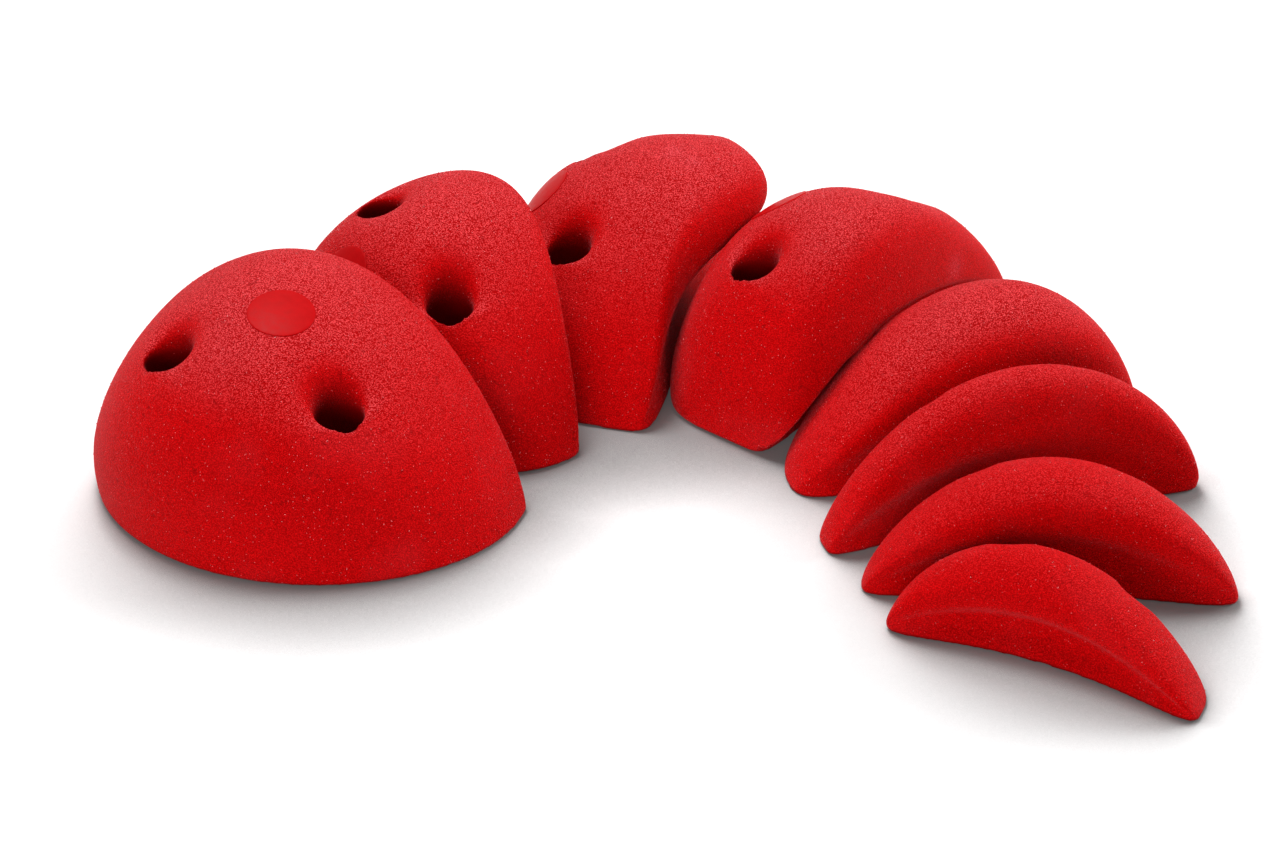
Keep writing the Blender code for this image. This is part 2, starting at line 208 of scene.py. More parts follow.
def across(hold, station, y):
    """Where a point of a section lies once the plan has narrowed, at a station that runs from -1 to 1."""
    return hold.bow * station**2 + hold.tip + (y - hold.tip) * (1 - station**2) ** hold.round


def shell_mesh(hold, name):
    """The casting's outer surface in its own frame, closed by its flat back, without holes."""
    count = sum(STEPS) + 1
    half = hold.length / 2
    stations = -np.cos(np.pi * np.arange(1, STATIONS) / STATIONS)
    rows = []
    for station in stations:
        outline = section(hold, station)
        fall = (1 - station**2) ** hold.fall
        z = outline[:, 1] * fall
        along = station * half + hold.lean * z / hold.height
        rows.append(np.column_stack([along, across(hold, station, outline[:, 0]), z]))
    tip_y = hold.bow + hold.tip
    points = np.vstack(rows + [[(-half, tip_y, 0.0), (half, tip_y, 0.0)]]) * MM
    faces = []
    for row in range(len(rows) - 1):
        first = row * count
        for i in range(count):
            j = (i + 1) % count
            faces.append((first + i, first + j, first + count + j, first + count + i))
    last = (len(rows) - 1) * count
    for i in range(count):
        j = (i + 1) % count
        faces.append((j, i, len(points) - 2))
        faces.append((last + i, last + j, len(points) - 1))
    mesh = bpy.data.meshes.new(name)
    mesh.from_pydata(points.tolist(), [], faces)
    outwards(mesh)
    return mesh


def outwards(mesh):
    """Points all faces of a closed mesh outwards."""
    shape = bmesh.new()
    shape.from_mesh(mesh)
    bmesh.ops.recalc_face_normals(shape, faces=shape.faces)
    shape.to_mesh(mesh)
    shape.free()


def mesh_object(name, mesh):
    made = bpy.data.objects.new(name, mesh)
    bpy.context.scene.collection.objects.link(made)
    return made


def evaluated(source, name):
    """A plain mesh of an object with its modifiers applied."""
    graph = bpy.context.evaluated_depsgraph_get()
    mesh = bpy.data.meshes.new_from_object(source.evaluated_get(graph))
    mesh.name = name
    return mesh


def turned(name, profile, sides):
    """A solid of revolution about Z, from (radius, z) points that start and end on the axis."""
    shape = bmesh.new()
    verts = [shape.verts.new((radius * MM, 0.0, z * MM)) for radius, z in profile]
    edges = [shape.edges.new(pair) for pair in zip(verts, verts[1:])]
    bmesh.ops.spin(
        shape, geom=verts + edges, cent=(0, 0, 0), axis=(0, 0, 1),
        angle=math.tau, steps=sides, use_merge=True,
    )
    bmesh.ops.remove_doubles(shape, verts=shape.verts, dist=MERGE_DISTANCE * MM)
    bmesh.ops.recalc_face_normals(shape, faces=shape.faces)
    mesh = bpy.data.meshes.new(name)
    shape.to_mesh(mesh)
    shape.free()
    return mesh_object(name, mesh)


def surface_at(tree, x, y):
    """The shell's height above a place on its back, in millimetres, and its normal there."""
    point, normal, _, _ = tree.ray_cast(Vector((x * MM, y * MM, 1.0)), Vector((0, 0, -1)))
    return (point.z / MM if point else 0.0), normal


def place_on(hold, spot):
    """x and y of a screw or a badge, which the sizes give along the chord and in from the outer foot."""
    along, inset = spot
    return along, float(across(hold, along / (hold.length / 2), -hold.depth)) + inset


def screw_seats(hold, tree):
    """For each screw: its axis, the height of its seat, and the low side of its mouth."""
    seats = []
    for spot in hold.screws:
        x, y = place_on(hold, spot)
        ring = [math.tau * i / BORE_SIDES for i in range(BORE_SIDES)]
        rim = [(x + hold.seat.bore * math.cos(a), y + hold.seat.bore * math.sin(a)) for a in ring]
        heights = [surface_at(tree, *point)[0] for point in rim]
        low = min(heights)
        seats.append(SimpleNamespace(x=x, y=y, seat=low - hold.seat.depth, low=low, high=max(heights)))
    return seats


def seat_cutter(hold, place, name):
    """Shank hole, counterbore and the mouth that flares above the low side of its rim."""
    size = hold.seat
    below = -CUTTER_MARGIN
    profile = [(0.0, below), (size.shank, below), (size.shank, place.seat), (size.bore, place.seat)]
    for i in range(MOUTH_STEPS + 1):
        angle = math.pi / 2 * i / MOUTH_STEPS
        radius = size.bore + size.flare * (1 - math.cos(angle))
        profile.append((radius, place.low + size.rise * math.sin(angle)))
    top = max(place.high, place.low + size.rise) + CUTTER_MARGIN
    profile += [(size.bore + size.flare, top), (0.0, top)]
    cutter = turned(name, profile, BORE_SIDES)
    cutter.location = (place.x * MM, place.y * MM, 0.0)
    return cutter


def smooth(points, edges, weights, rounds):
    """Moves points towards the middle of their neighbours, as far as their weights say."""
    moving = weights > LEAST_PULL
    used = edges[moving[edges].any(axis=1)]
    chosen, local = np.unique(used, return_inverse=True)
    a, b = local.reshape(-1, 2).T
    count = len(chosen)
    degree = np.bincount(a, minlength=count) + np.bincount(b, minlength=count)
    share = (weights[chosen] * moving[chosen])[:, None]
    part = points[chosen]
    for _ in range(rounds):
        total = [np.bincount(a, part[b, i], count) + np.bincount(b, part[a, i], count) for i in range(3)]
        part = part + (np.column_stack(total) / degree[:, None] - part) * share
    points[chosen] = part


def turn_matrix(hold):
    """The hold's turn about Z."""
    return np.array(Matrix.Rotation(math.radians(hold.turn), 3, "Z"))


def ramp(values, low, high):
    """0 below low, 1 above high, and smooth between them."""
    share = np.clip((values - low) / (high - low), 0.0, 1.0)
    return share * share * (3 - 2 * share)


def even_skin(hold, name):
    """The casting on even faces, with its screw seats cut. Keeps the plain shell's tree and the seats."""
    shell = mesh_object(name + "_shell", shell_mesh(hold, name + "_shell"))
    tree = BVHTree.FromPolygons(
        [vertex.co for vertex in shell.data.vertices],
        [polygon.vertices[:] for polygon in shell.data.polygons],
    )
    hold.tree = tree
    hold.seats = screw_seats(hold, tree)
    cutters = [seat_cutter(hold, place, f"{name}_cutter_{i}") for i, place in enumerate(hold.seats)]
    for cutter in cutters:
        cut = shell.modifiers.new(cutter.name, "BOOLEAN")
        cut.operation = "DIFFERENCE"
        cut.object = cutter
        cut.solver = "EXACT"
    remesh = shell.modifiers.new("even faces", "REMESH")
    remesh.mode = "VOXEL"
    remesh.voxel_size = hold.face * MM
    mesh = evaluated(shell, name)
    for helper in [shell, *cutters]:
        bpy.data.objects.remove(helper)
    return mesh


def shape_mouth(hold, place, points, edges, grit):
    """Rounds a counterbore's wall and its mouth, which is soft towards the crown and crisp on its low
    side, and takes the sand off the inside."""
    size = hold.seat
    reach = np.hypot(points[:, 0] - place.x, points[:, 1] - place.y)
    height = points[:, 2]
    wall = (np.abs(reach - size.bore) < hold.face) & (height < place.low - WALL_MARGIN)
    wall &= height > place.seat + hold.face
    scale = size.bore / reach[wall]
    points[wall, 0] = place.x + (points[wall, 0] - place.x) * scale
    points[wall, 1] = place.y + (points[wall, 1] - place.y) * scale
    inside = reach < size.bore + BORE_SAND_WIDTH
    grit[inside] = ramp(height[inside], place.low + BORE_SAND[0], place.low + BORE_SAND[1])
    rim = np.exp(-(((reach - size.bore - size.flare) / hold.mouth) ** 2))
    soft = rim * ramp(height, place.low + SOFT_MOUTH[0] * size.rise, place.low + SOFT_MOUTH[1] * size.rise)
    smooth(points, edges, MOUTH_PULL * soft, round(2 * (hold.mouth / hold.face) ** 2))
    crisp = np.exp(-(((reach - size.bore) / RIM.width) ** 2)) * (points[:, 2] > place.low - RIM.below)
    smooth(points, edges, RIM.pull * crisp, RIM.rounds)


def fine_skin(hold, name):
    """The hold's skin on even fine faces, in its place, with attributes for its grit and wear, and for where
    highlight and shade are painted.
    """
    mesh = even_skin(hold, name)
    tree = hold.tree
    points = np.empty(len(mesh.vertices) * 3)
    mesh.vertices.foreach_get("co", points)
    points = points.reshape(-1, 3) / MM
    edges = np.empty(len(mesh.edges) * 2, int)
    mesh.edges.foreach_get("vertices", edges)
    edges = edges.reshape(-1, 2)
    nearest = [tree.find_nearest(Vector(point * MM)) for point in points]
    on_shell = np.array([hit[0] for hit in nearest]) / MM
    depth = np.array([hit[3] for hit in nearest]) / MM
    snap = depth < ON_SHELL * hold.face
    points[snap] = on_shell[snap]
    grit = np.ones(len(points))
    for place in hold.seats:
        shape_mouth(hold, place, points, edges, grit)
    # The edge of the back and the tips' ends are rounded over a little
    near_back = np.clip(1 - points[:, 2] / BACK_EDGE.height, 0.0, 1.0)
    smooth(points, edges, BACK_EDGE.pull * near_back, BACK_EDGE.rounds)
    points[:, 2] = np.maximum(points[:, 2], 0.0)
    grit *= ramp(points[:, 2], *BACK_SAND)
    scuff = np.zeros(len(points))
    for *spot, size in getattr(hold, "scuffs", ()):
        scuff += np.exp(-((np.linalg.norm(points - spot, axis=1) / size) ** 2))
    # Painted shade: how deep each point lies under the plain shell, so that the screws' mouths are painted
    # darker
    hollow = np.zeros(len(points))
    sunk = np.flatnonzero(~snap)
    hollow[sunk] = [tree.find_nearest(Vector(points[i] * MM))[3] / MM for i in sunk]
    hollow = HOLLOW_SHADE.most * ramp(hollow, *HOLLOW_SHADE.depth)
    mesh.vertices.foreach_set("co", (points * MM).ravel())
    mesh.update()
    normals = np.empty(len(mesh.vertices) * 3)
    mesh.vertex_normals.foreach_get("vector", normals)
    # Painted highlight: upward faces are marked to be painted paler, more so on some holds than on others
    crown = hold.painted_highlight * ramp(normals.reshape(-1, 3)[:, 2], *CROWN_SLOPE)
    points = points @ turn_matrix(hold).T
    low, high = (np.array(corner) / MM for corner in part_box(name))
    middle = (points.min(0) + points.max(0)) / 2
    hold.shift = np.array([*((low + high) / 2 - middle)[:2], 0.0])
    mesh.vertices.foreach_set("co", ((points + hold.shift) * MM).ravel())
    # Each hold's strength of painted highlight and painted glints
    painted_highlight = np.full(len(points), hold.painted_highlight)
    for label, values in (
        ("grit", grit), ("crown", crown), ("scuff", scuff), ("hollow", hollow), ("painted_highlight", painted_highlight)
    ):
        layer = mesh.attributes.new(label, "FLOAT", "POINT")
        layer.data.foreach_set("value", values)
    mesh.shade_smooth()
    return mesh


def to_place(hold, points):
    """Points of the hold's own frame, in millimetres, at the hold's place in metres."""
    return (np.asarray(points) @ turn_matrix(hold).T + hold.shift) * MM


# Materials


def linear(colour):
    """An sRGB hex colour as linear values."""
    parts = [int(colour[i : i + 2], 16) / 255 for i in (1, 3, 5)]
    return [part / 12.92 if part <= 0.04045 else ((part + 0.055) / 1.055) ** 2.4 for part in parts] + [1.0]


def add(tree, kind, inputs=None, **settings):
    """Adds a node with its settings, and sets or links its inputs."""
    made = tree.nodes.new(kind)
    for key, value in settings.items():
        setattr(made, key, value)
    for socket, value in (inputs or {}).items():
        if isinstance(value, bpy.types.NodeSocket):
            tree.links.new(value, made.inputs[socket])
        else:
            made.inputs[socket].default_value = value
    return made


def new_material(name):
    made = bpy.data.materials.new(name)
    made.use_nodes = True
    made.node_tree.nodes.clear()
    return made, made.node_tree


def sanded_resin():
    """Polyurethane resin cast in a mould with a sand relief: matt grains of about 0.5 mm, with dark pits
    between them and a few pale grains that are painted glints. The crowns are painted paler as a painted
    highlight, and the screws' mouths darker with painted shade. Bores come out smooth and satin."""
    made, tree = new_material("cast polyurethane, sanded red")
    place = add(tree, "ShaderNodeTexCoord").outputs["Object"]
    grit = add(tree, "ShaderNodeAttribute", attribute_name="grit").outputs["Fac"]
    crown = add(tree, "ShaderNodeAttribute", attribute_name="crown").outputs["Fac"]
    grains = add(tree, "ShaderNodeTexVoronoi", {"Vector": place, "Scale": 1 / (0.46 * MM)}, feature="F1")
    fine = add(
        tree, "ShaderNodeTexNoise",
        {"Vector": place, "Scale": 1 / (0.5 * MM), "Detail": 2.0, "Roughness": 0.7},
    )
    sand = add(
        tree, "ShaderNodeTexNoise",
        {"Vector": place, "Scale": 1 / (1.9 * MM), "Detail": 2.0, "Roughness": 0.6},
    )
    patches = add(tree, "ShaderNodeTexNoise", {"Vector": place, "Scale": 1 / (28 * MM), "Detail": 5.0})
    # Relief: round grains on a rough ground
    domes = add(tree, "ShaderNodeMath", {0: 0.55, 1: grains.outputs["Distance"]}, operation="SUBTRACT")
    relief = add(tree, "ShaderNodeMath", {0: fine.outputs["Fac"], 1: domes.outputs[0]}, operation="ADD")
    relief = add(tree, "ShaderNodeMath", {0: relief.outputs[0], 1: grit}, operation="MULTIPLY")
    # Colour: the ground between the grains is darker, and the grains are lighter
    tint = add(
        tree, "ShaderNodeMapRange", {"Value": relief.outputs[0], "From Min": 0.45, "From Max": 0.8}
    )
    colour = add(
        tree, "ShaderNodeMix",
        {"Factor": tint.outputs[0], "A": linear("#B60002"), "B": linear("#E2060B")}, data_type="RGBA",
    )
    # Painted highlight: the crowns' grains are painted paler, and the ground between them stays deep
    painted_highlight = add(
        tree, "ShaderNodeMix",
        {"Factor": tint.outputs[0], "A": linear("#900003"), "B": linear("#FF666C")}, data_type="RGBA",
    )
    crown = add(tree, "ShaderNodeMath", {0: crown, 1: 0.5}, operation="MULTIPLY")
    colour = add(
        tree, "ShaderNodeMix",
        {"Factor": crown.outputs[0], "A": colour.outputs["Result"], "B": painted_highlight.outputs["Result"]},
        data_type="RGBA",
    )
    # Worn patches are a touch paler, and scuffs are paler in fine scratches
    wear = add(
        tree, "ShaderNodeMapRange",
        {"Value": patches.outputs["Fac"], "From Min": 0.5, "From Max": 0.8, "To Min": 0.0, "To Max": 0.08},
    )
    scuff = add(tree, "ShaderNodeAttribute", attribute_name="scuff").outputs["Fac"]
    scratches = add(
        tree, "ShaderNodeMapRange",
        {"Value": fine.outputs["Fac"], "From Min": 0.45, "From Max": 0.6, "To Min": 0.0, "To Max": 0.6},
    )
    scuff = add(tree, "ShaderNodeMath", {0: scuff, 1: scratches.outputs[0]}, operation="MULTIPLY")
    wear = add(tree, "ShaderNodeMath", {0: wear.outputs[0], 1: scuff.outputs[0]}, operation="ADD")
    colour = add(
        tree, "ShaderNodeMix",
        {"Factor": wear.outputs[0], "A": colour.outputs["Result"], "B": linear("#E2525C")}, data_type="RGBA",
    )
    # Wider pits in the sand are dark
    pits = add(
        tree, "ShaderNodeMapRange",
        {"Value": sand.outputs["Fac"], "From Min": 0.28, "From Max": 0.38, "To Min": 0.5, "To Max": 0.0},
    )
    pits = add(tree, "ShaderNodeMath", {0: pits.outputs[0], 1: grit}, operation="MULTIPLY")
    colour = add(
        tree, "ShaderNodeMix",
        {"Factor": pits.outputs[0], "A": colour.outputs["Result"], "B": linear("#800103")}, data_type="RGBA",
    )
    # Painted glints: one grain in fifty is painted pale, more faintly on the holds with less painted
    # highlight
    chance = add(tree, "ShaderNodeSeparateColor", {"Color": grains.outputs["Color"]}).outputs[0]
    rare = add(tree, "ShaderNodeMath", {0: chance, 1: 0.98}, operation="GREATER_THAN")
    core = add(tree, "ShaderNodeMath", {0: grains.outputs["Distance"], 1: 0.3}, operation="LESS_THAN")
    pale = add(tree, "ShaderNodeMath", {0: rare.outputs[0], 1: core.outputs[0]}, operation="MULTIPLY")
    pale = add(tree, "ShaderNodeMath", {0: pale.outputs[0], 1: grit}, operation="MULTIPLY")
    share = add(tree, "ShaderNodeAttribute", attribute_name="painted_highlight").outputs["Fac"]
    share = add(tree, "ShaderNodeMapRange", {"Value": share, "To Min": 0.25, "To Max": 1.0})
    pale = add(tree, "ShaderNodeMath", {0: pale.outputs[0], 1: share.outputs[0]}, operation="MULTIPLY")
    colour = add(
        tree, "ShaderNodeMix",
        {"Factor": pale.outputs[0], "A": colour.outputs["Result"], "B": linear("#E8787C")}, data_type="RGBA",
    )
    # Painted shade: the screws' mouths are painted darker, more so further down
    hollow = add(tree, "ShaderNodeAttribute", attribute_name="hollow").outputs["Fac"]
    colour = add(
        tree, "ShaderNodeMix",
        {"Factor": hollow, "A": colour.outputs["Result"], "B": linear("#660103")}, data_type="RGBA",
    )
    # Painted shade: unsanded walls, in the bores and along the foot of the back, are painted deeper in
    # colour
    colour = add(
        tree, "ShaderNodeMix", {"Factor": grit, "A": linear("#700103"), "B": colour.outputs["Result"]},
        data_type="RGBA",
    )
    gloss = add(tree, "ShaderNodeMapRange", {"Value": grit, "To Min": 0.3, "To Max": 0.62})
    bump = add(tree, "ShaderNodeBump", {"Height": relief.outputs[0], "Strength": 1.0, "Distance": 0.28 * MM})
    shader = add(
        tree, "ShaderNodeBsdfPrincipled",
        {
            "Base Color": colour.outputs["Result"],
            "Roughness": gloss.outputs[0],
            "Normal": bump.outputs["Normal"],
            "IOR": 1.5,
            "Specular IOR Level": 0.03,
            "Sheen Weight": 0.16,
            "Sheen Roughness": 0.25,
            "Sheen Tint": linear("#FF9AA2"),
        },
    )
    add(tree, "ShaderNodeOutputMaterial", {"Surface": shader.outputs[0]})
    return made


def grain_resin():
    """The same resin on the tips of the coarsest grains, rubbed smooth, so that they glint."""
    made, tree = new_material("cast polyurethane, rubbed grain tips")
    place = add(tree, "ShaderNodeTexCoord").outputs["Object"]
    patches = add(tree, "ShaderNodeTexNoise", {"Vector": place, "Scale": 1 / (3 * MM), "Detail": 2.0})
    colour = add(
        tree, "ShaderNodeMix",
        {"Factor": patches.outputs["Fac"], "A": linear("#B8090C"), "B": linear("#F05A5C")}, data_type="RGBA",
    )
    shader = add(
        tree, "ShaderNodeBsdfPrincipled",
        {"Base Color": colour.outputs["Result"], "Roughness": 0.22, "IOR": 1.5, "Specular IOR Level": 0.5},
    )
    add(tree, "ShaderNodeOutputMaterial", {"Surface": shader.outputs[0]})
    return made


def badge_resin():
    """The same resin where the mould is polished: satin, with a faint haze of fine scratches."""
    made, tree = new_material("cast polyurethane, polished red")
    place = add(tree, "ShaderNodeTexCoord").outputs["Object"]
    haze = add(tree, "ShaderNodeTexNoise", {"Vector": place, "Scale": 1 / (2.5 * MM), "Detail": 5.0})
    colour = add(
        tree, "ShaderNodeMix",
        {"Factor": haze.outputs["Fac"], "A": linear("#A80508"), "B": linear("#C20B10")}, data_type="RGBA",
    )
    gloss = add(
        tree, "ShaderNodeMapRange",
        {"Value": haze.outputs["Fac"], "From Min": 0.3, "From Max": 0.7, "To Min": 0.36, "To Max": 0.48},
    )
    bump = add(
        tree, "ShaderNodeBump", {"Height": haze.outputs["Fac"], "Strength": 0.15, "Distance": 0.1 * MM}
    )
    shader = add(
        tree, "ShaderNodeBsdfPrincipled",
        {
            "Base Color": colour.outputs["Result"],
            "Roughness": gloss.outputs[0],
            "Normal": bump.outputs["Normal"],
            "IOR": 1.5,
            "Specular IOR Level": 0.03,
        },
    )
    add(tree, "ShaderNodeOutputMaterial", {"Surface": shader.outputs[0]})
    return made


def zinc_steel():
    """Pressed steel washers with bright zinc plating: cool grey, with the plating's faint mottle."""
    made, tree = new_material("zinc-plated steel, pressed")
    place = add(tree, "ShaderNodeTexCoord").outputs["Object"]
    mottle = add(tree, "ShaderNodeTexNoise", {"Vector": place, "Scale": 1 / (1.5 * MM), "Detail": 4.0})
    colour = add(
        tree, "ShaderNodeMix",
        {"Factor": mottle.outputs["Fac"], "A": linear("#A9ABAD"), "B": linear("#C4C5C4")}, data_type="RGBA",
    )
    gloss = add(
        tree, "ShaderNodeMapRange",
        {"Value": mottle.outputs["Fac"], "From Min": 0.3, "From Max": 0.7, "To Min": 0.25, "To Max": 0.4},
    )
    bump = add(
        tree, "ShaderNodeBump", {"Height": mottle.outputs["Fac"], "Strength": 0.2, "Distance": 0.05 * MM}
    )
    shader = add(
        tree, "ShaderNodeBsdfPrincipled",
        {
            "Base Color": colour.outputs["Result"],
            "Roughness": gloss.outputs[0],
            "Normal": bump.outputs["Normal"],
            "Metallic": 1.0,
        },
    )
    add(tree, "ShaderNodeOutputMaterial", {"Surface": shader.outputs[0]})
    return made


# Geometry nodes

RELIEF_LEVEL = 0.62  # noise above this stands out of the casting, and most of it lies below
GRAIN_SIZES = (0.45, 1.15)  # least and greatest, as shares of the grain radius
WHOLE_TURN = (math.tau, math.tau, math.tau)


def float_input(tree, name, value):
    socket = tree.interface.new_socket(name=name, in_out="INPUT", socket_type="NodeSocketFloat")
    socket.default_value = value


def relief_tree(material):
    """Pushes a skin's points in and out along their normals, as the mould's sand does, by their grit."""
    tree = bpy.data.node_groups.new("sand relief", "GeometryNodeTree")
    tree.interface.new_socket(name="Skin", in_out="INPUT", socket_type="NodeSocketGeometry")
    float_input(tree, "Grain Width", 1.6 * MM)
    float_input(tree, "Grain Height", 0.05 * MM)
    float_input(tree, "Lump Width", 9.0 * MM)
    float_input(tree, "Lump Height", 0.1 * MM)
    tree.interface.new_socket(name="Skin", in_out="OUTPUT", socket_type="NodeSocketGeometry")
    given = add(tree, "NodeGroupInput").outputs
    grit = add(tree, "GeometryNodeInputNamedAttribute", {"Name": "grit"}, data_type="FLOAT")
    grit = grit.outputs["Attribute"]
    place = add(tree, "GeometryNodeInputPosition").outputs[0]
    heights = []
    for width, height in (("Grain Width", "Grain Height"), ("Lump Width", "Lump Height")):
        scale = add(tree, "ShaderNodeMath", {0: 1.0, 1: given[width]}, operation="DIVIDE").outputs[0]
        noise = add(tree, "ShaderNodeTexNoise", {"Vector": place, "Scale": scale, "Detail": 1.0})
        about = add(tree, "ShaderNodeMath", {0: noise.outputs[0], 1: RELIEF_LEVEL}, operation="SUBTRACT")
        rise = add(tree, "ShaderNodeMath", {0: about.outputs[0], 1: given[height]}, operation="MULTIPLY")
        heights.append(rise.outputs[0])
    total = add(tree, "ShaderNodeMath", {0: heights[0], 1: heights[1]}, operation="ADD").outputs[0]
    total = add(tree, "ShaderNodeMath", {0: total, 1: grit}, operation="MULTIPLY").outputs[0]
    normal = add(tree, "GeometryNodeInputNormal").outputs[0]
    offset = add(tree, "ShaderNodeVectorMath", {0: normal, "Scale": total}, operation="SCALE").outputs[0]
    moved = add(tree, "GeometryNodeSetPosition", {"Geometry": given["Skin"], "Offset": offset})
    real = add(tree, "GeometryNodeRealizeInstances", {"Geometry": moved.outputs[0]})
    coated = add(tree, "GeometryNodeSetMaterial", {"Geometry": real.outputs[0], "Material": material})
    add(tree, "NodeGroupOutput", {"Skin": coated.outputs[0]})
    return tree


def grain_tree(material):
    """Scatters the coarsest grains over a skin, sunk to their middles, where grit says so."""
    tree = bpy.data.node_groups.new("grain tips", "GeometryNodeTree")
    tree.interface.new_socket(name="Skin", in_out="INPUT", socket_type="NodeSocketGeometry")
    float_input(tree, "Grain Radius", 0.22 * MM)
    float_input(tree, "Grains per Square Metre", 0.04 / MM**2)
    seed = tree.interface.new_socket(name="Seed", in_out="INPUT", socket_type="NodeSocketInt")
    seed.default_value = 7
    tree.interface.new_socket(name="Grains", in_out="OUTPUT", socket_type="NodeSocketGeometry")
    given = add(tree, "NodeGroupInput").outputs
    grit = add(tree, "GeometryNodeInputNamedAttribute", {"Name": "grit"}, data_type="FLOAT")
    grit = grit.outputs["Attribute"]
    density = add(
        tree, "ShaderNodeMath", {0: given["Grains per Square Metre"], 1: grit}, operation="MULTIPLY"
    ).outputs[0]
    spots = add(
        tree, "GeometryNodeDistributePointsOnFaces",
        {"Mesh": given["Skin"], "Density": density, "Seed": given["Seed"]}, distribute_method="RANDOM",
    )
    grain = add(tree, "GeometryNodeMeshIcoSphere", {"Radius": given["Grain Radius"], "Subdivisions": 1})
    size = add(
        tree, "FunctionNodeRandomValue", {2: GRAIN_SIZES[0], 3: GRAIN_SIZES[1], "Seed": given["Seed"]},
        data_type="FLOAT",
    ).outputs[1]
    turn = add(
        tree, "FunctionNodeRandomValue", {0: (0, 0, 0), 1: WHOLE_TURN, "Seed": given["Seed"]},
        data_type="FLOAT_VECTOR",
    ).outputs[0]
    grains = add(
        tree, "GeometryNodeInstanceOnPoints",
        {"Points": spots.outputs["Points"], "Instance": grain.outputs[0], "Rotation": turn, "Scale": size},
    )
    real = add(tree, "GeometryNodeRealizeInstances", {"Geometry": grains.outputs[0]})
    coated = add(tree, "GeometryNodeSetMaterial", {"Geometry": real.outputs[0], "Material": material})
    add(tree, "NodeGroupOutput", {"Grains": coated.outputs[0]})
    return tree


def through_tree(mesh, tree, name, **values):
    """The mesh that a node tree makes of another, as a new plain mesh."""
    source = mesh_object(name + "_source", mesh)
    modifier = source.modifiers.new(tree.name, "NODES")
    modifier.node_group = tree
    for item in tree.interface.items_tree:
        if item.in_out == "INPUT" and item.name in values:
            modifier[item.identifier] = values[item.name]
    made = evaluated(source, name)
    bpy.data.objects.remove(source)
    return made


# The badge pads


def badge_mesh(hold, name):
    """A thin smooth disc that follows the shell, with a rounded edge, sunk a little into it."""
    x, y = place_on(hold, hold.badge)
    height, normal = surface_at(hold.tree, x, y)
    centre = Vector((x, y, height)) * MM
    across_x = normal.cross(Vector((0, 1, 0))).normalized()
    across_y = normal.cross(across_x).normalized()
    flat = BADGE.radius - BADGE.edge
    rings = [(flat * i / BADGE_RINGS, BADGE.rise) for i in range(BADGE_RINGS + 1)]
    for i in range(1, BADGE_EDGE_RINGS + 1):
        angle = math.pi / 2 * i / BADGE_EDGE_RINGS
        rings.append((flat + BADGE.edge * math.sin(angle), BADGE.rise - BADGE.edge * (1 - math.cos(angle))))
    rings += [(BADGE.radius * share, -BADGE.sunk) for share in (1.0, 0.5, 0.0)]
    sides = BADGE_SIDES
    points = []
    faces = []
    for radius, rise in rings:
        start = len(points)
        for i in range(sides if radius else 1):
            angle = math.tau * i / sides
            spot = centre + (across_x * math.cos(angle) + across_y * math.sin(angle)) * radius * MM
            hit, _, _, _ = hold.tree.ray_cast(spot + normal * RAY_START * MM, -normal)
            points.append(tuple((hit + normal * rise * MM) / MM))
        if start:
            before = start - (sides if last else 1)
            for i in range(sides):
                j = (i + 1) % sides
                if not last:
                    faces.append((before, start + i, start + j))
                elif not radius:
                    faces.append((before + i, before + j, start))
                else:
                    faces.append((before + i, before + j, start + j, start + i))
        last = radius
    mesh = bpy.data.meshes.new(name)
    mesh.from_pydata(to_place(hold, points).tolist(), [], faces)
    outwards(mesh)
    mesh.shade_smooth()
    mesh.set_sharp_from_angle(angle=math.radians(60))
    return mesh


# The set


def complete(hold, form, seat, face, mouth):
    """A hold's own sizes together with those of its kind."""
    for key, value in vars(form).items():
        setattr(hold, key, value)
    if hasattr(hold, "foot_setback"):
        hold.foot = hold.lip[0] - hold.foot_setback
        hold.incut_at = hold.lip[0] - hold.incut_setback
    hold.seat = seat
    hold.face = face
    hold.mouth = mouth
    return hold


def join_meshes(name, meshes):
    shape = bmesh.new()
    for mesh in meshes:
        shape.from_mesh(mesh)
    made = bpy.data.meshes.new(name)
    shape.to_mesh(made)
    shape.free()
    return made


def build_set():
    resin = sanded_resin()
    polished = badge_resin()
    relief = relief_tree(resin)
    tips_material = grain_resin()
    tips = grain_tree(tips_material)
    grain_parts = []
    kinds = (
        (JUGS, JUG_FORM, JUG_SEAT, JUG_FACE, JUG_MOUTH),
        (EDGES, EDGE_FORM, EDGE_SEAT, EDGE_FACE, EDGE_MOUTH),
    )
    holds = {name: complete(hold, *kind) for group, *kind in kinds for name, hold in group.items()}
    for number, (name, hold) in enumerate(holds.items()):
        skin = through_tree(fine_skin(hold, name), relief, name + "_skin")
        grain_parts.append(through_tree(skin, tips, name + "_grains", Seed=number))
        piece = mesh_object(name + "_skin", skin)
        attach(piece, "root")
        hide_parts(name)
        if name in JUGS:
            badge = mesh_object(name + "_badge", badge_mesh(hold, name + "_badge"))
            badge.data.materials.append(polished)
            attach(badge, "root")
    grains = mesh_object("grain_tips", join_meshes("grain_tips", grain_parts))
    grains.data.materials.append(tips_material)
    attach(grains, "root")


def coat_washers():
    steel = zinc_steel()
    for name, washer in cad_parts.items():
        if "washer" in name:
            for slot in washer.material_slots:
                slot.material = steel


# The room. The camera's place is in millimetres and its angles are in degrees, and the lamps' places and
# sizes are in metres and their powers in watts.

CAMERA_PLACE = (-1.7, -650.9, 403.5)
CAMERA_DOWN = 31.36
CAMERA_ANGLE = 30.28
LAMP_AIM = (0.0, 0.0, 0.02)
LAMPS = {
    "overhead softbox": SimpleNamespace(place=(-0.25, 0.35, 1.15), size=(0.45, 0.45), power=14.0),
    "front fill": SimpleNamespace(place=(-0.45, -1.1, 0.3), size=(0.9, 0.4), power=6.2),
    "right rim": SimpleNamespace(place=(1.0, 0.35, 0.45), size=(0.5, 0.4), power=8.5),
}


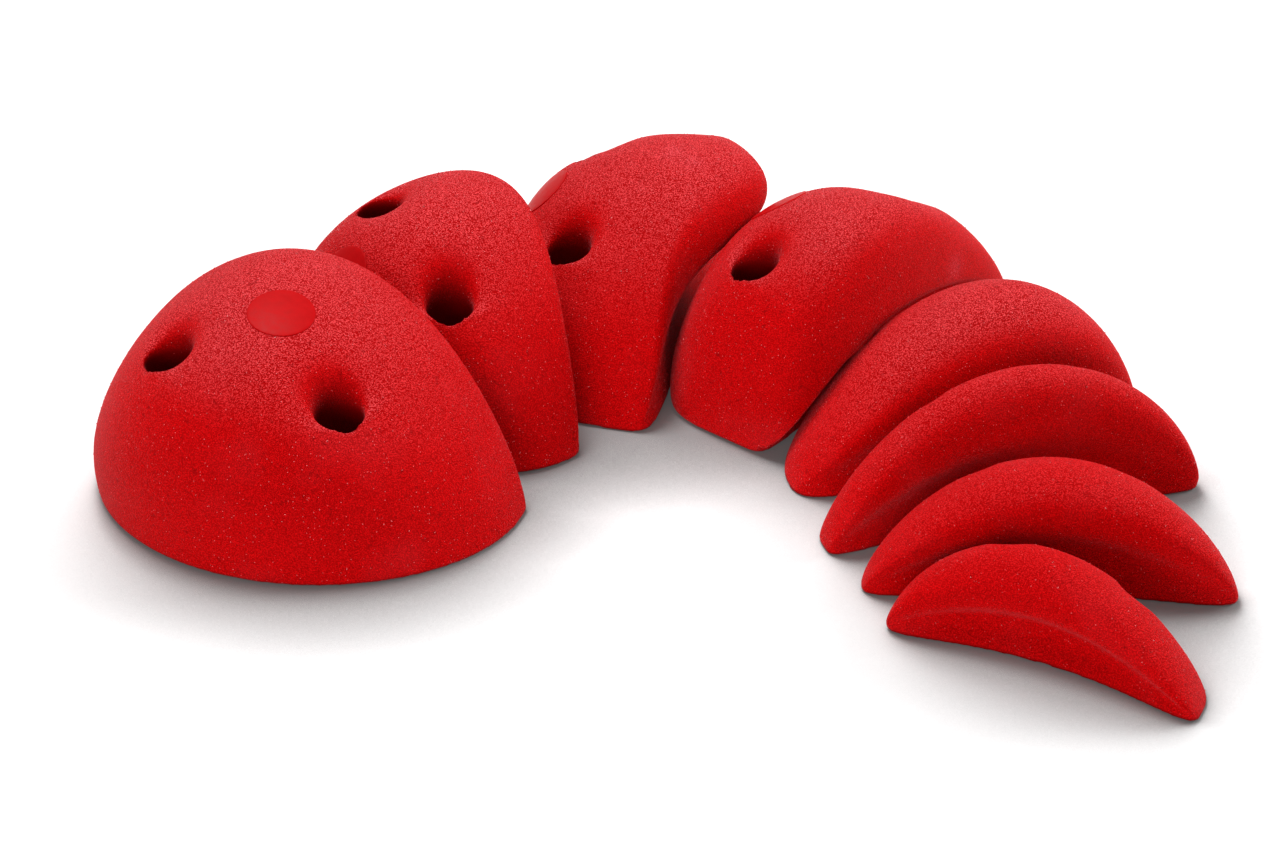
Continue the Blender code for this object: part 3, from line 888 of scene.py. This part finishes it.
def set_camera():
    camera = bpy.data.objects.new("camera", bpy.data.cameras.new("camera"))
    bpy.context.scene.collection.objects.link(camera)
    camera.location = [value * MM for value in CAMERA_PLACE]
    camera.rotation_euler = (math.radians(90 - CAMERA_DOWN), 0.0, 0.0)
    camera.data.sensor_fit = "HORIZONTAL"
    camera.data.angle = math.radians(CAMERA_ANGLE)
    bpy.context.scene.camera = camera


def softbox(name, place, size, power):
    lamp = bpy.data.lights.new(name, "AREA")
    lamp.shape = "RECTANGLE"
    lamp.size, lamp.size_y = size
    lamp.energy = power
    made = bpy.data.objects.new(name, lamp)
    bpy.context.scene.collection.objects.link(made)
    made.location = place
    made.rotation_euler = (Vector(LAMP_AIM) - Vector(place)).to_track_quat("-Z", "Y").to_euler()


def seen_ray(tree):
    """1 for what the camera sees, straight, mirrored or through glass, and 0 for light on the pieces."""
    path = add(tree, "ShaderNodeLightPath").outputs
    seen = add(
        tree, "ShaderNodeMath", {0: path["Is Camera Ray"], 1: path["Is Glossy Ray"]}, operation="MAXIMUM"
    )
    return add(
        tree, "ShaderNodeMath", {0: seen.outputs[0], 1: path["Is Transmission Ray"]}, operation="MAXIMUM"
    ).outputs[0]


def paper_floor():
    """White paper, brightened for the camera alone, so that it turns pure white away from the shadow."""
    made, tree = new_material("white paper, matt")
    place = add(tree, "ShaderNodeTexCoord").outputs["Object"]
    fibre = add(tree, "ShaderNodeTexNoise", {"Vector": place, "Scale": 1 / (0.8 * MM), "Detail": 3.0})
    colour = add(
        tree, "ShaderNodeMix",
        {"Factor": fibre.outputs["Fac"], "A": linear("#EAEAEA"), "B": linear("#F0F0F0")}, data_type="RGBA",
    )
    # A dense soft shade lies where the pieces stand close over the paper, towards the front and the right
    tilt = Vector((-0.35, 0.75, 0.5)).normalized()
    tilt = add(tree, "ShaderNodeCombineXYZ", {0: tilt.x, 1: tilt.y, 2: tilt.z}).outputs[0]
    near = add(tree, "ShaderNodeAmbientOcclusion", {"Distance": 52 * MM, "Normal": tilt}, samples=12)
    shade = add(
        tree, "ShaderNodeMapRange",
        {"Value": near.outputs["AO"], "From Min": 0.56, "From Max": 0.9, "To Min": 0.3, "To Max": 1.0},
    ).outputs[0]
    seen = seen_ray(tree)
    shade = add(tree, "ShaderNodeMapRange", {"Value": seen, "To Min": 1.0, "To Max": shade}).outputs[0]
    colour = add(
        tree, "ShaderNodeMix", {"Factor": shade, "A": linear("#000000"), "B": colour.outputs["Result"]},
        data_type="RGBA",
    )
    paper = add(tree, "ShaderNodeBsdfDiffuse", {"Color": colour.outputs["Result"]})
    # Far from the lamps the paper stays as white as near them
    far = add(tree, "ShaderNodeVectorMath", {0: place}, operation="LENGTH").outputs["Value"]
    lift = add(
        tree, "ShaderNodeMapRange",
        {"Value": far, "From Min": 0.4, "From Max": 1.6, "To Min": 0.12, "To Max": 1.0},
    )
    lift = add(tree, "ShaderNodeMath", {0: lift.outputs[0], 1: seen}, operation="MULTIPLY")
    lift = add(tree, "ShaderNodeMath", {0: lift.outputs[0], 1: shade}, operation="MULTIPLY")
    glow = add(tree, "ShaderNodeEmission", {"Color": linear("#FFFFFF"), "Strength": lift.outputs[0]})
    total = add(tree, "ShaderNodeAddShader", {0: paper.outputs[0], 1: glow.outputs[0]})
    add(tree, "ShaderNodeOutputMaterial", {"Surface": total.outputs[0]})
    return made


def set_room():
    shape = bmesh.new()
    bmesh.ops.create_grid(shape, x_segments=1, y_segments=1, size=6.0)
    mesh = bpy.data.meshes.new("floor")
    shape.to_mesh(mesh)
    shape.free()
    floor = mesh_object("floor", mesh)
    mesh.materials.append(paper_floor())
    for name, lamp in LAMPS.items():
        softbox(name, lamp.place, lamp.size, lamp.power)
    world = bpy.context.scene.world or bpy.data.worlds.new("world")
    bpy.context.scene.world = world
    world.use_nodes = True
    tree = world.node_tree
    tree.nodes.clear()
    strength = add(tree, "ShaderNodeMapRange", {"Value": seen_ray(tree), "To Min": 0.2, "To Max": 1.0})
    sky = add(tree, "ShaderNodeBackground", {"Color": linear("#FFFFFF"), "Strength": strength.outputs[0]})
    add(tree, "ShaderNodeOutputWorld", {"Surface": sky.outputs[0]})
    bpy.context.scene.view_settings.view_transform = "Standard"


set_camera()
build_set()
coat_washers()
set_room()
